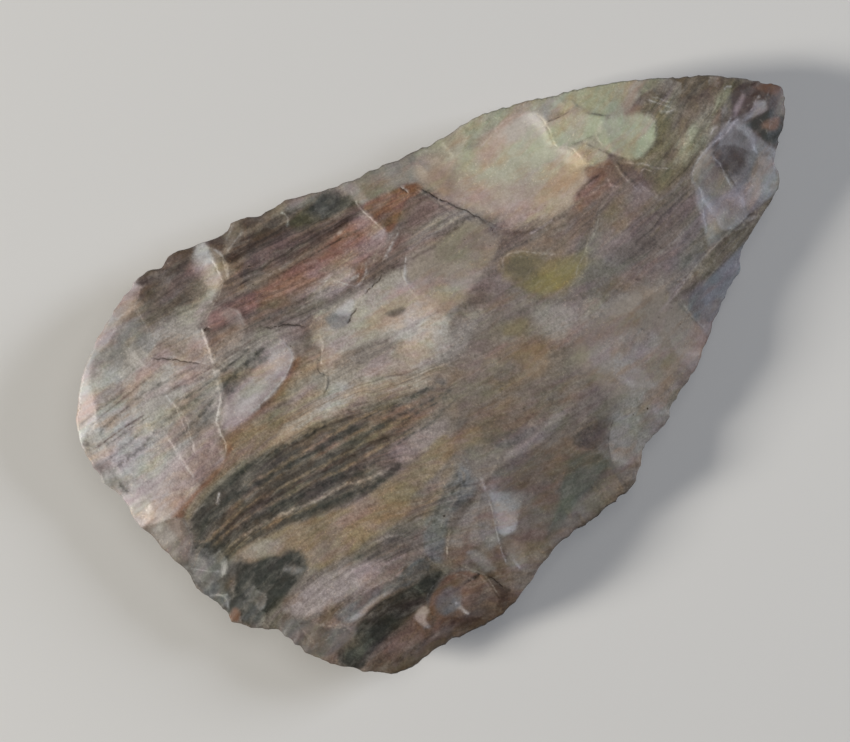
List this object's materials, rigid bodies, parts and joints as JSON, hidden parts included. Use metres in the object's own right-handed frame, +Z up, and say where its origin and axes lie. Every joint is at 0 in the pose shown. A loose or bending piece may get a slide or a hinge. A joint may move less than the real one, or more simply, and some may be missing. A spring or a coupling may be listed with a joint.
{
  "type": "knapped stone preform blade",
  "caption": "Pointed teardrop blade knapped from banded stone on both faces, an unfinished biface with a thin sharp edge all round.",
  "frame": {"origin": "middle of the bounding box in plan, at the level of the flat underside remnant", "axes": "+X towards the tip, +Y towards the longer convex shoulder of the base, +Z up out of the scarred face shown"},
  "size_m": [0.11, 0.0684, 0.014],
  "materials": {
    "chert": "waxy, faintly glossy knapped chert"
  },
  "bodies": {
    "root": {"preform_blade": "chert"}
  },
  "joints": []
}
